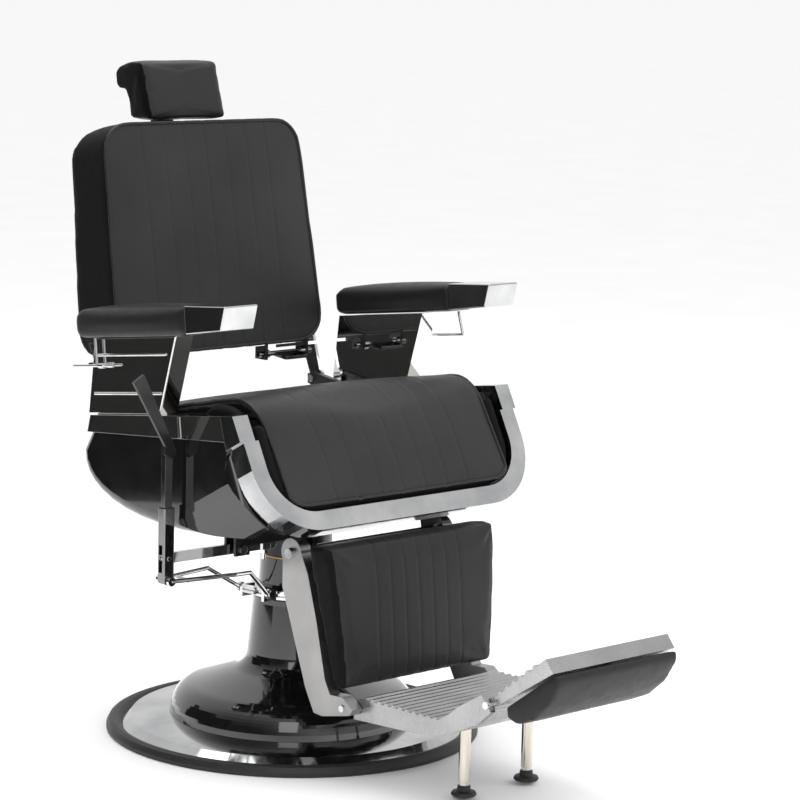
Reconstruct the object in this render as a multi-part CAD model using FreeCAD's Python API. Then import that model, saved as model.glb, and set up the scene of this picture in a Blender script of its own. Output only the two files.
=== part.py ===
import FreeCAD, Part
import math
import os

# Hydraulic barber chair, millimetres. Origin on the floor at the column axis, +Z up, the chair faces -Y.
V = FreeCAD.Vector

# --- base -------------------------------------------------------------------------------------------
BASE_R = 340.0              # outer radius of the edge ring
PLATE_R = 313.0             # radius where plate and edge ring meet
PLATE_THICK = 6.0
PLATE_TOP_Z = 32.0          # flat centre of the plate
PLATE_FLAT_R = 224.0        # the plate is flat inside this radius
PLATE_RIDGE_R = 296.0
PLATE_RIDGE_Z = 25.0
RING_TOP_Z = 20.0
BELL_FOOT_R = 226.0
BELL_SHOULDER = (220.0, 77.0)   # corner of skirt and dome, before rounding
BELL_SHOULDER_ROUND = 55.0
NECK_ROOT = (88.0, 121.0)       # corner of dome and neck, before rounding
NECK_ROOT_ROUND = 38.0
NECK_TAPER_TOP = (77.0, 240.0)
BELL_WALL = 6.0
NECK_GROOVE_R = 71.0        # turned seat for the yoke collar
NECK_TOP_R = 65.0
NECK_BORE_R = 60.0
NECK_GROOVE_Z = (252.0, 270.0)
NECK_TOP_Z = 324.0
CYL_OUT_R = 45.0
CYL_FLANGE_R = 72.0
CYL_TOP_Z = 318.0
CYL_BOLT_PCD_R = 58.0
CYL_BOLT_R = 5.0
CYL_BOLT_COUNT = 6
CYL_FLANGE_THICK = 10.0
CYL_FLOOR_THICK = 20.0
HOLE_GAP = 0.2              # radial clearance of bolt holes
RUN_GAP = 0.05              # radial running clearance
RAM_R = 28.0
RAM_FOOT_Z = 70.0
RAM_LENGTH = 430.0

# --- turret and pump linkage ------------------------------------------------------------------------
WASHER_TOP_Z = 327.0
HEAD_R = 66.0
HEAD_TOP_Z = 396.0
LEVER_Y = -60.0             # plane of the pump linkage
FULCRUM = (-190.0, 367.0)
BAR_END = (-349.0, 369.0)   # pivot of the upright hand lever
BAR_INNER_X = -112.0
BAR_H = 18.0
BAR_T = 9.0
FULCRUM_PIN_R = 5.0
HAND_PIN_R = 4.0
COLLAR_Z = (253.0, 269.0)
COLLAR_OUT_R = 81.0
YOKE_PIVOT = (-95.0, 268.0)
YOKE_PIN_R = 4.0
YOKE_EAR_Y = 30.0
YOKE_EAR_HALF = 3.5
YOKE_EYE_Y = (35.5, 42.5)
YOKE_EYE_R = 9.0
YOKE_HEAD_Y = (44.0, 47.0)
YOKE_FOOT_Z = 330.0         # height of the rod ends beside the hand lever's foot
ROD_R = 4.0
ADJUST_X = -128.0
ADJUST_R = 4.0
ADJUST_LENGTH = 38.0
ADJUST_FOOT_Z = 340.0
FORK_TOP_Z = 394.0
FORK_BOTTOM_Z = 372.0
FORK_CHEEK_Y = (10.0, 16.0) # cheeks of the fulcrum fork, either side of the linkage plane
SLEEVE_HALF_X = 12.0
SLEEVE_HALF_Y = 9.0
SLEEVE_Z = (330.0, 457.0)
HAND_BAR_HALF = (8.0, 5.0)
HAND_BAR_Z = (415.0, 578.0)
PADDLE_FOOT_Z = 542.0
PADDLE_TIP_Z = 694.0
PADDLE_REACH = 82.0         # how far the paddle leans outwards
PADDLE_THICK = 6.0

# --- seat -------------------------------------------------------------------------------------------
TILT = 7.2                  # seat incline, front up, degrees
TILT_Z = 609.0              # height of the rail top at the column
SIDE_X = 326.0              # outer face of rails and aprons
RAIL_IN_X = 294.0
RAIL_REAR_Y = 196.0
RAIL_FRONT_Y = -212.0
RAIL_TOP = 607.0            # in the level seat frame
RAIL_BOTTOM_REAR = 577.0
RAIL_BOTTOM_FRONT = 563.0
APRON_DEPTH = 44.0
APRON_WALL = 4.0
APRON_REAR_Y = 216.0
APRON_REAR_Z = 520.0        # height of its rearmost point
APRON_KEEL = (-59.0, 412.0) # lowest point, where the rear curve meets the straight lower edge
APRON_TOE = (-262.0, 421.0)
APRON_POWER = 2.4           # squareness of the rear curve; 2 is an ellipse
APRON_EDGE_ROUND = 22.0
BOARD_X = 294.0
BOARD_Y = (-176.0, 190.0)
BOARD_Z = (580.0, 594.0)
BEAM_X = 282.0
BEAM_Y = 150.0
BEAM_Z = (528.0, 540.0)
CUSHION_X = 262.0
CUSHION_REAR = (190.0, 609.0)
CUSHION_CREST = (-186.0, 638.0)  # corner of seat and waterfall, before rounding
CUSHION_CREST_ROUND = 78.0
CUSHION_TOE = (-271.0, 450.0)
CUSHION_TOE_REAR = ((-262.0, 438.0), (-246.0, 446.0))
CUSHION_INNER = ((-222.0, 500.0), (-200.0, 552.0))
CUSHION_FRONT_GAP = (-88.5, 46.6)
PANEL_X = (272.0, 311.0)
PAD_X = (270.0, 347.0)
PAD_TOP = 797.0             # arm pad top in the level seat frame
PAD_BOTTOM = 743.0
PAD_REAR_Y = 194.0
PAD_FRONT_Y = -121.0
CAP_FRONT_Y = -213.0
CAP_RAKE = 16.0             # the cap's top overhangs its foot by this much
PANEL_TOP_Y = (-49.0, 182.0)
PANEL_FOOT_Y = (10.0, 216.0)
BEAD_R = 2.5
WIRE_R = 2.5

FRAME_TOP = (-227.0, 592.0)
FRAME_FOOT = (-306.0, 442.0)
FRAME_LEN = math.dist(FRAME_TOP, FRAME_FOOT)
FRAME_HALF = 320.0
FRAME_RADIUS = 118.0
FRAME_BAR = 33.0
FRAME_DEPTH = 42.0

# --- backrest ---------------------------------------------------------------------------------------
BACK_PIVOT = (228.0, 598.0)
BACK_LEAN = 10.3
BACK_BOTTOM = (206.0, 674.0)
BACK_HEIGHT = 428.0
BACK_HALF_LOW = 249.0
BACK_HALF_TOP = 232.0
BACK_CORNER = 58.0
BACK_THICK_LOW = 122.0
BACK_THICK_TOP = 104.0
BACK_CROWN = 34.0           # fall of the rear top edge
BOARD_BACK_HALF = 212.0
BACK_ARM_X = (246.0, 252.0)
LUG_X = (232.0, 244.0)
HINGE_PIN_R = 7.0
STEM_HALF = 25.0
STEM_DEPTH = (119.0, 125.0) # behind the back's front face
STEM_HEIGHT = (290.0, 486.0)
STEM_NOTCHES = 5
STEM_NOTCH_PITCH = 9.0
HINGE_X = 262.0
HEAD_HALF = 91.0
RECLINE = (214.0, 656.0)      # axis of the recline release rod

# --- leg rest ---------------------------------------------------------------------------------------
LEG_PIVOT = (-196.0, 380.0)
LEG_SHAFT_R = 9.0
LEG_SHAFT_HALF = 190.0
LEG_BOSS_R = 26.0
LEG_PAD_FRONT = ((-315.0, 410.0), (-324.0, 360.0), (-334.0, 265.0), (-341.0, 170.0))
LEG_PAD_REAR = ((-330.0, 160.0), (-300.0, 163.0), (-250.0, 404.0), (-292.0, 412.0))
LEG_PAD_HALF_TOP = 200.0
LEG_PAD_HALF_LOW = 176.0
BRACKET_SHIN = ((-174.0, 318.0), (-239.0, 151.0))
BRACKET_FOOT = ((-262.0, 111.0), (-284.0, 109.0), (-353.0, 124.0), (-361.0, 135.0), (-335.0, 153.0),
                (-303.0, 151.0))
BRACKET_FRONT = ((-289.0, 175.0), (-264.0, 274.0), (-240.0, 350.0))
STEP_UNDER = ((-337.0, 131.0), (-338.0, 111.0), (-453.0, 117.0), (-534.0, 124.0), (-573.0, 136.0),
              (-628.0, 163.0))
STEP_TOP = ((-636.0, 184.0), (-590.0, 183.0), (-544.0, 154.0), (-351.0, 150.0))
STEP_EAR = ((-573.0, 136.0), (-634.0, 164.0), (-667.0, 192.0), (-644.0, 218.0), (-590.0, 186.0), (-560.0, 160.0))
STEP_EAR_THICK = 11.0
STEP_RIBS = 11
STEP_RIB_PITCH = 17.0
STEP_RIB_R = 5.5
STEP_RIB_START = (-366.0, 149.6)
SLIDE_X = (140.0, 152.0)
SLIDE_Z = 406.0             # slide bar centre height above the pivot line
SLIDE_SLOPE = 0.1727        # rise per unit of Y
SLIDE_HALF = 5.0
BRACKET_X = (158.0, 182.0)
PLATE_HALF = 157.0
FLIP_PIVOT = (-656.0, 202.0)
FLIP_PIN_R = 4.0
FLIP_BARREL_R = 10.0
FLIP_TIP = ((-775.0, 301.0), (-792.0, 280.0))
FLIP_RIBS = 6
FLIP_RIB_R = 5.0
CALF_HALF = 148.0
CALF_UNDER = ((-684.0, 203.0), (-690.0, 184.0), (-712.0, 177.0), (-744.0, 190.0), (-780.0, 222.0),
              (-804.0, 262.0), (-800.0, 276.0), (-792.0, 280.0))
STAND_X = 75.0
STAND_Y = -527.0
STAND_R = 10.0
FLOOR_GAP = 6.0             # the stand feet hang this far off the floor

# --- headrest ---------------------------------------------------------------------------------------
HEAD_FRONT = ((321.0, 1096.0), (352.0, 1194.0), (362.0, 1199.0))
HEAD_TOP = ((392.0, 1197.0), (424.0, 1188.0), (436.0, 1176.0))
HEAD_ROLL = ((434.0, 1152.0), (424.0, 1143.0), (405.0, 1143.0), (389.0, 1112.0), (386.0, 1090.0), (328.0, 1090.0))


def poly_face(points, plane_x):
    """Closed polygon in the Y-Z plane at X = plane_x."""
    pts = [V(plane_x, y, z) for y, z in points]
    return Part.Face(Part.makePolygon(pts + [pts[0]]))


def prism(points, x0, x1):
    """Y-Z polygon extruded along X."""
    return poly_face(points, x0).extrude(V(x1 - x0, 0, 0))


def prism_y(points, y0, y1):
    """X-Z polygon extruded along Y."""
    pts = [V(x, y0, z) for x, z in points]
    return Part.Face(Part.makePolygon(pts + [pts[0]])).extrude(V(0, y1 - y0, 0))


def smooth_edge(points):
    """Spline through points."""
    curve = Part.BSplineCurve()
    curve.interpolate(points)
    return curve.toShape()


def box(x0, x1, y0, y1, z0, z1):
    return Part.makeBox(x1 - x0, y1 - y0, z1 - z0, V(x0, y0, z0))


def rod(start, end, radius):
    """Cylinder between two points."""
    axis = V(*end) - V(*start)
    return Part.makeCylinder(radius, axis.Length, V(*start), axis)


def rod_path(points, radius):
    """Round rod through several points with ball corners."""
    solid = rod(points[0], points[1], radius)
    for start, end in zip(points[1:-1], points[2:]):
        solid = solid.fuse(Part.makeSphere(radius, V(*start)))
        solid = solid.fuse(rod(start, end, radius))
    return solid.removeSplitter()


def turned(points):
    """Solid of revolution about Z from an (r, z) polygon."""
    pts = [V(r, 0, z) for r, z in points]
    return Part.Face(Part.makePolygon(pts + [pts[0]])).revolve(V(0, 0, 0), V(0, 0, 1), 360)


def hex_bolt(x, y, z, shank_r, shank_down, head_r, head_h):
    """Bolt with its head above z and its shank below."""
    ring = [V(x + head_r * math.cos(a), y + head_r * math.sin(a), z)
            for a in [math.radians(60 * k) for k in range(6)]]
    head = Part.Face(Part.makePolygon(ring + [ring[0]])).extrude(V(0, 0, head_h))
    return head.fuse(Part.makeCylinder(shank_r, shank_down, V(x, y, z - shank_down)))


def fillet_where(shape, radius, test):
    """Fillet the edges whose centre passes the test."""
    edges = [e for e in shape.Edges if test(e)]
    return shape.makeFillet(radius, edges)


def mid(edge):
    return edge.valueAt((edge.FirstParameter + edge.LastParameter) / 2)


def rounded_corner(before, corner, after, radius, steps=10):
    """Points of the arc that rounds one corner of a polyline."""
    a, c, b = V(before[0], before[1], 0), V(corner[0], corner[1], 0), V(after[0], after[1], 0)
    to_a, to_b = (a - c).normalize(), (b - c).normalize()
    half = to_a.getAngle(to_b) / 2
    middle = (to_a + to_b).normalize()
    centre = c + middle * (radius / math.sin(half))
    start = c + to_a * (radius / math.tan(half)) - centre
    end = c + to_b * (radius / math.tan(half)) - centre
    sweep = start.getAngle(end)
    out = []
    for k in range(steps + 1):
        t = k / steps
        spoke = (start * math.sin((1 - t) * sweep) + end * math.sin(t * sweep)) * (1 / math.sin(sweep))
        out.append((centre.x + spoke.x, centre.y + spoke.y))
    return out


def seat_tilt(shape):
    """Turn a shape from the level seat frame to the real incline."""
    return shape.rotate(V(0, 0, TILT_Z), V(1, 0, 0), -TILT)


def mirror(shape):
    return shape.mirror(V(0, 0, 0), V(1, 0, 0))


def level(y, z):
    """(Y, Z) in the level seat frame to the real frame."""
    a = math.radians(-TILT)
    dz = z - TILT_Z
    return (y * math.cos(a) - dz * math.sin(a), TILT_Z + y * math.sin(a) + dz * math.cos(a))


# ----------------------------------------------------------------------------------------------------
def edge_ring():
    """Round-topped rubber ring that the chair stands on."""
    return turned([(PLATE_R, 0), (BASE_R - 3, 0), (BASE_R, 3), (BASE_R, 8), (BASE_R - 5, RING_TOP_Z - 3),
                   (BASE_R - 12, RING_TOP_Z), (BASE_R - 20, RING_TOP_Z - 2), (PLATE_R, RING_TOP_Z - 8)])


def base_plate():
    """Dished plate, flat under the bell and sloping to the ring."""
    rim_z = RING_TOP_Z - 8.5
    top = [(0, PLATE_TOP_Z), (PLATE_FLAT_R, PLATE_TOP_Z), (PLATE_RIDGE_R, PLATE_RIDGE_Z), (PLATE_R, rim_z)]
    under = [(r, z - PLATE_THICK) for r, z in reversed(top)]
    plate = turned(top + under)
    return plate.cut(bolt_ring(CYL_BOLT_R + HOLE_GAP, 0, PLATE_TOP_Z + 1))


def bolt_ring(radius, z0, z1):
    holes = []
    for k in range(CYL_BOLT_COUNT):
        a = 2 * math.pi * k / CYL_BOLT_COUNT
        centre = V(CYL_BOLT_PCD_R * math.cos(a), CYL_BOLT_PCD_R * math.sin(a), z0)
        holes.append(Part.makeCylinder(radius, z1 - z0, centre))
    return Part.makeCompound(holes)


def bell_side(inset, foot_z):
    """Skirt, dome and neck of the bell as (r, z) points, moved inwards by inset."""
    foot = (BELL_FOOT_R - inset, foot_z)
    shoulder = (BELL_SHOULDER[0] - inset, BELL_SHOULDER[1] - inset)
    root = (NECK_ROOT[0] - inset, NECK_ROOT[1] - inset)
    top = (NECK_TAPER_TOP[0] - inset, NECK_TAPER_TOP[1])
    dome = rounded_corner(foot, shoulder, root, BELL_SHOULDER_ROUND - inset)
    return dome + rounded_corner(shoulder, root, top, NECK_ROOT_ROUND + inset) + [top]


def bell():
    """Gloss bell and tapered neck, a hollow skin."""
    outer = [(BELL_FOOT_R, PLATE_TOP_Z)] + bell_side(0.0, PLATE_TOP_Z)
    inner = bell_side(BELL_WALL, PLATE_TOP_Z) + [(NECK_BORE_R + 4, NECK_GROOVE_Z[0] - 2)]
    groove = [(NECK_TAPER_TOP[0], NECK_GROOVE_Z[0] - 2), (NECK_GROOVE_R, NECK_GROOVE_Z[0] - 1),
              (NECK_GROOVE_R, NECK_GROOVE_Z[1] + 1), (NECK_TOP_R + 2, NECK_GROOVE_Z[1] + 6)]
    head = [(NECK_TOP_R, NECK_TOP_Z), (NECK_BORE_R, NECK_TOP_Z), (NECK_BORE_R, NECK_GROOVE_Z[1] + 2)]
    foot = [(BELL_FOOT_R - BELL_WALL, PLATE_TOP_Z)]
    return turned(outer + groove + head + inner[::-1] + foot)


def pump_cylinder():
    """Hydraulic cylinder with a closed foot and a bolting flange."""
    bore = RAM_R + RUN_GAP
    flange_z = PLATE_TOP_Z + CYL_FLANGE_THICK
    floor_z = PLATE_TOP_Z + CYL_FLOOR_THICK
    tube = turned([(0, PLATE_TOP_Z), (CYL_FLANGE_R, PLATE_TOP_Z), (CYL_FLANGE_R, flange_z),
                   (CYL_OUT_R + 3, flange_z), (CYL_OUT_R, flange_z + 4), (CYL_OUT_R, CYL_TOP_Z),
                   (bore, CYL_TOP_Z), (bore, floor_z), (0, floor_z)])
    return tube.cut(bolt_ring(CYL_BOLT_R + HOLE_GAP, 0, flange_z + 3))


def cylinder_bolts():
    bolts = []
    for k in range(CYL_BOLT_COUNT):
        a = 2 * math.pi * k / CYL_BOLT_COUNT
        x, y = CYL_BOLT_PCD_R * math.cos(a), CYL_BOLT_PCD_R * math.sin(a)
        bolts.append(hex_bolt(x, y, PLATE_TOP_Z + CYL_FLANGE_THICK, CYL_BOLT_R, 16.0, 8.0, 7.0))
    return Part.makeCompound(bolts)


def thrust_washer():
    return turned([(36, NECK_TOP_Z), (64, NECK_TOP_Z), (64, WASHER_TOP_Z), (36, WASHER_TOP_Z)])


def pump_head():
    """Turning pump casting round the ram."""
    bore = RAM_R + RUN_GAP
    return turned([(bore, WASHER_TOP_Z), (HEAD_R - 2, WASHER_TOP_Z), (HEAD_R, WASHER_TOP_Z + 2),
                   (HEAD_R, HEAD_TOP_Z - 18), (HEAD_R - 12, HEAD_TOP_Z - 4), (HEAD_R - 22, HEAD_TOP_Z),
                   (bore, HEAD_TOP_Z)])


def fulcrum_bracket():
    """Fork bolted to the pump head, its two cheeks carrying the fulcrum pin."""
    inner, outer = FORK_CHEEK_Y
    root_x, tip_x = -90.0, FULCRUM[0] - 16
    arm = box(root_x, -30, LEVER_Y - outer, LEVER_Y + outer, FORK_BOTTOM_Z, FORK_TOP_Z)
    for side in (-1, 1):
        y0, y1 = sorted((LEVER_Y + side * inner, LEVER_Y + side * outer))
        arm = arm.fuse(box(tip_x, root_x, y0, y1, FORK_BOTTOM_Z, FORK_TOP_Z))
        arm = arm.fuse(box(tip_x, tip_x + 32, y0, y1, FORK_BOTTOM_Z - 16, FORK_BOTTOM_Z))
        boss_start = (FULCRUM[0], LEVER_Y + side * (BAR_T / 2 + 0.5), FULCRUM[1])
        arm = arm.fuse(rod(boss_start, (FULCRUM[0], LEVER_Y + side * inner, FULCRUM[1]), FULCRUM_PIN_R + 4))
    arm = arm.cut(Part.makeCylinder(HEAD_R, 100, V(0, 0, 320)))
    hole = Part.makeCylinder(FULCRUM_PIN_R, 60, V(FULCRUM[0], LEVER_Y - 30, FULCRUM[1]), V(0, 1, 0))
    return arm.cut(hole).removeSplitter()


def fulcrum_pin():
    pin = rod((FULCRUM[0], LEVER_Y - 17, FULCRUM[1]), (FULCRUM[0], LEVER_Y + 17, FULCRUM[1]), FULCRUM_PIN_R)
    head = rod((FULCRUM[0], LEVER_Y - 20, FULCRUM[1]), (FULCRUM[0], LEVER_Y - 16, FULCRUM[1]), 8.0)
    return pin.fuse(head)


def yoke_collar():
    """Double-lipped collar that turns with the pump, with two lugs for the yoke rods."""
    z0, z1 = COLLAR_Z
    ring = turned([(NECK_GROOVE_R + RUN_GAP, z0), (COLLAR_OUT_R, z0), (COLLAR_OUT_R, z0 + 5),
                   (COLLAR_OUT_R - 4, z0 + 6), (COLLAR_OUT_R - 4, z1 - 6), (COLLAR_OUT_R, z1 - 5),
                   (COLLAR_OUT_R, z1), (NECK_GROOVE_R + RUN_GAP, z1)])
    for side in (-1, 1):
        ear = side * YOKE_EAR_Y
        lug = box(YOKE_PIVOT[0] - 8, -60, ear - YOKE_EAR_HALF, ear + YOKE_EAR_HALF, z0, z1 + 6)
        ring = ring.fuse(lug.cut(Part.makeCylinder(COLLAR_OUT_R - 3, 60, V(0, 0, 240))))
    hole = Part.makeCylinder(YOKE_PIN_R, 120, V(YOKE_PIVOT[0], -60, YOKE_PIVOT[1]), V(0, 1, 0))
    return ring.cut(hole).removeSplitter()


def yoke_pins():
    """Two short shouldered bolts through the collar lugs."""
    pins = []
    for side in (-1, 1):
        x, z = YOKE_PIVOT
        pin = rod((x, side * (YOKE_EAR_Y - 4), z), (x, side * YOKE_HEAD_Y[0], z), YOKE_PIN_R)
        pins.append(pin.fuse(rod((x, side * YOKE_HEAD_Y[0], z), (x, side * YOKE_HEAD_Y[1], z), YOKE_PIN_R + 3)))
    return Part.makeCompound(pins)


def yoke_rods():
    """V of two bent rods from the hand lever's foot to the collar lugs."""
    x, z = YOKE_PIVOT
    tip_front = (BAR_END[0], LEVER_Y - SLEEVE_HALF_Y - 5.5, YOKE_FOOT_Z)
    tip_rear = (BAR_END[0], LEVER_Y + SLEEVE_HALF_Y + 5.5, YOKE_FOOT_Z)
    front = rod_path([tip_front, (-200, LEVER_Y - 8, 322), (-150, -50, 316), (x - 5, -39.6, z + 1)], ROD_R)
    rear = rod_path([tip_rear, (-215, -10, 326), (x - 5, 39.6, z + 1)], ROD_R)
    legs = []
    for leg, side, tip in ((front, -1, tip_front), (rear, 1, tip_rear)):
        eye = rod((x, side * YOKE_EYE_Y[0], z), (x, side * YOKE_EYE_Y[1], z), YOKE_EYE_R)
        leg = leg.fuse(eye).cut(rod((x, side * 30, z), (x, side * 46, z), YOKE_PIN_R + RUN_GAP))
        leg = leg.fuse(rod((tip[0], tip[1] - 3.5, tip[2]), (tip[0], tip[1] + 3.5, tip[2]), 8.0))
        legs.append(leg)
    bridge = rod((-310, LEVER_Y - 13, 327), (-310, LEVER_Y + 24, 327), ROD_R)
    return legs[0].fuse(bridge).fuse(legs[1]).removeSplitter()


def pump_bar():
    """Flat bar rocking on the fulcrum."""
    half = BAR_H / 2
    x0, z0 = BAR_END
    bar = prism_y([(x0, z0 - half), (BAR_INNER_X, FULCRUM[1] - half), (BAR_INNER_X, FULCRUM[1] + half),
                   (x0, z0 + half)], LEVER_Y - BAR_T / 2, LEVER_Y + BAR_T / 2)
    bar = bar.fuse(rod((x0, LEVER_Y - BAR_T / 2, z0), (x0, LEVER_Y + BAR_T / 2, z0), half))
    bar = bar.fuse(rod((BAR_INNER_X, LEVER_Y - BAR_T / 2, FULCRUM[1]),
                       (BAR_INNER_X, LEVER_Y + BAR_T / 2, FULCRUM[1]), half))
    pad = box(ADJUST_X - 9, ADJUST_X + 9, LEVER_Y - 8, LEVER_Y + 8, FULCRUM[1] - half, FULCRUM[1] + 3)
    bar = bar.fuse(pad)
    for (x, z), radius in ((FULCRUM, FULCRUM_PIN_R + RUN_GAP), (BAR_END, HAND_PIN_R + RUN_GAP)):
        bar = bar.cut(rod((x, LEVER_Y - 20, z), (x, LEVER_Y + 20, z), radius))
    return bar.cut(Part.makeCylinder(ADJUST_R, 60, V(ADJUST_X, LEVER_Y, ADJUST_FOOT_Z))).removeSplitter()


def adjusting_bolt():
    """Release-adjusting bolt with a lock nut under the bar."""
    nut_z = FULCRUM[1] - BAR_H / 2 - 7.2
    head_z = FULCRUM[1] + BAR_H / 2 + 0.3
    bolt = Part.makeCylinder(ADJUST_R, ADJUST_LENGTH, V(ADJUST_X, LEVER_Y, ADJUST_FOOT_Z))
    nut = hex_bolt(ADJUST_X, LEVER_Y, nut_z, ADJUST_R, 1.0, 2 * ADJUST_R, 7.0)
    head = hex_bolt(ADJUST_X, LEVER_Y, head_z, ADJUST_R, 1.0, ADJUST_R + 3, 5.0)
    return bolt.fuse(nut).fuse(head)


def lever_sleeve():
    """Forked socket that carries the hand lever."""
    x, z = BAR_END
    half_x, half_y = SLEEVE_HALF_X, SLEEVE_HALF_Y
    body = box(x - half_x, x + half_x, LEVER_Y - half_y, LEVER_Y + half_y, *SLEEVE_Z)
    foot_z = SLEEVE_Z[0] + 4
    foot = rod((x, LEVER_Y - half_y, foot_z), (x, LEVER_Y + half_y, foot_z), half_x)
    body = fillet_where(body.fuse(foot).removeSplitter(), 3.0,
                        lambda e: abs(e.BoundBox.ZLength) > 90 and e.BoundBox.XLength < 1)
    slot = box(x - 20, x + 20, LEVER_Y - BAR_T / 2 - 0.3, LEVER_Y + BAR_T / 2 + 0.3, z - 24, z + 24)
    bar_x, bar_y = HAND_BAR_HALF
    socket = box(x - bar_x, x + bar_x, LEVER_Y - bar_y, LEVER_Y + bar_y, HAND_BAR_Z[0], SLEEVE_Z[1] + 3)
    pin = rod((x, LEVER_Y - 20, z), (x, LEVER_Y + 20, z), HAND_PIN_R)
    return body.cut(slot).cut(socket).cut(pin)


def hand_pin():
    x, z = BAR_END
    half = SLEEVE_HALF_Y + 1.5
    return rod((x, LEVER_Y - half, z), (x, LEVER_Y + half, z), HAND_PIN_R)


def lever_bar():
    """Upright hand bar above the sleeve."""
    x = BAR_END[0]
    bar_x, bar_y = HAND_BAR_HALF
    return box(x - bar_x, x + bar_x, LEVER_Y - bar_y, LEVER_Y + bar_y, *HAND_BAR_Z)


def lever_paddle():
    """Flat hand paddle leaning outwards, riveted to the bar's outer face."""
    x = BAR_END[0]
    foot, tip = PADDLE_FOOT_Z, PADDLE_TIP_Z
    pts = [(x - 13, foot + 10), (x + 5, foot), (x + 12, foot + 14), (x - PADDLE_REACH + 22, tip),
           (x - PADDLE_REACH, tip - 12), (x - 12, foot + 24)]
    face = LEVER_Y - HAND_BAR_HALF[1]
    return prism_y(pts, face - PADDLE_THICK, face)


# ----------------------------------------------------------------------------------------------------
def ram():
    return Part.makeCylinder(RAM_R, RAM_LENGTH, V(0, 0, RAM_FOOT_Z))


def seat_subframe():
    """Cross plate with a wedge that sits on the ram."""
    foot_z, half = RAM_FOOT_Z + RAM_LENGTH, 80.0
    plate = seat_tilt(box(-BEAM_X, BEAM_X, -BEAM_Y, BEAM_Y, *BEAM_Z))
    top_z = BEAM_Z[0] + 2
    wedge = prism([(-half, foot_z), (half, foot_z), level(half, top_z), level(-half, top_z)], -half, half)
    return plate.fuse(wedge).removeSplitter()


def seat_board():
    return seat_tilt(box(-BOARD_X, BOARD_X, *BOARD_Y, *BOARD_Z))


def frame_outline(inset, start=0.0):
    """U outline of the front frame, as (x, s) with s measured down the slope from its top."""
    half, length, radius = FRAME_HALF - inset, FRAME_LEN - inset, FRAME_RADIUS - inset
    turn = [math.radians(90 - 7.5 * k) for k in range(13)]
    arc = [(half - radius + radius * math.cos(a), length - radius + radius * math.sin(a)) for a in turn]
    right = [(half, start)] + arc[::-1]
    return right + [(-x, s) for x, s in right[::-1]]


def slope_solid(outline, depth):
    """Extrude an (x, s) outline rearwards, square to the front slope."""
    y0, z0 = FRAME_TOP
    dy, dz = (FRAME_FOOT[0] - y0) / FRAME_LEN, (FRAME_FOOT[1] - z0) / FRAME_LEN
    pts = [V(x, y0 + s * dy, z0 + s * dz) for x, s in outline]
    return Part.Face(Part.makePolygon(pts + [pts[0]])).extrude(V(0, -dz * depth, dy * depth))


def front_frame():
    """Broad U-shaped frame running down from the rails and across the front."""
    outer = slope_solid(frame_outline(0.0), FRAME_DEPTH)
    hollow = slope_solid(frame_outline(FRAME_BAR, -FRAME_BAR), FRAME_DEPTH)
    return outer.cut(hollow)


def rail(side):
    """Bright top rail with a thin joint strip on its outer face."""
    pts = [(190, RAIL_TOP), (202, RAIL_BOTTOM_REAR), (-190, RAIL_BOTTOM_FRONT), (-190, RAIL_TOP)]
    strip = seat_tilt(box(SIDE_X - 1, SIDE_X + 1.5, -64, -59, 569, 605))
    solid = seat_tilt(prism(pts, RAIL_IN_X, SIDE_X)).fuse(strip).cut(rail_sleeve(1))
    return solid if side > 0 else mirror(solid)


def rail_sleeve(side):
    """Bright end sleeve joining the rail to the front frame."""
    pts = [(-205, 633), FRAME_TOP, (-190, 572), (-172, 629)]
    solid = prism(pts, RAIL_IN_X, SIDE_X + 1).cut(front_frame())
    return solid if side > 0 else mirror(solid)


def rail_sleeves():
    return Part.makeCompound([rail_sleeve(1), rail_sleeve(-1)])


def apron_rear(steps=9):
    """Rear curve of the apron, from its rearmost point down to its keel."""
    half_y, half_z = APRON_REAR_Y - APRON_KEEL[0], APRON_REAR_Z - APRON_KEEL[1]
    out = []
    for k in range(steps + 1):
        a = math.pi / 2 * k / steps
        y = APRON_KEEL[0] + half_y * math.cos(a) ** (2 / APRON_POWER)
        out.append((y, APRON_REAR_Z - half_z * math.sin(a) ** (2 / APRON_POWER)))
    return out


def apron(side):
    """Moulded side shell below the rail, rounded at its rear and lower edges."""
    pts = [level(202, RAIL_BOTTOM_REAR)] + apron_rear() + [APRON_TOE, (-192, 573), level(-190, RAIL_BOTTOM_FRONT)]
    x0, x1 = SIDE_X - APRON_DEPTH, SIDE_X
    outer = prism(pts, x0, x1)
    outer = fillet_where(outer, APRON_EDGE_ROUND, lambda e: abs(mid(e).x - x1) < 0.1 and mid(e).z < 555
                         and mid(e).y > -250)
    outer = outer.common(slope_solid(frame_outline(-6.0, -600.0), 900.0))
    face = poly_face(pts, x0)
    for inset, reach in ((7.0, 26.0), (30.0, APRON_DEPTH - APRON_WALL)):
        pocket = face.makeOffset2D(-inset).extrude(V(reach, 0, 0))
        outer = outer.cut(pocket.common(slope_solid(frame_outline(12.0, -600.0), 900.0)))
    solid = outer.cut(front_frame()).cut(rail_sleeve(1))
    return solid if side > 0 else mirror(solid)


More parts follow.
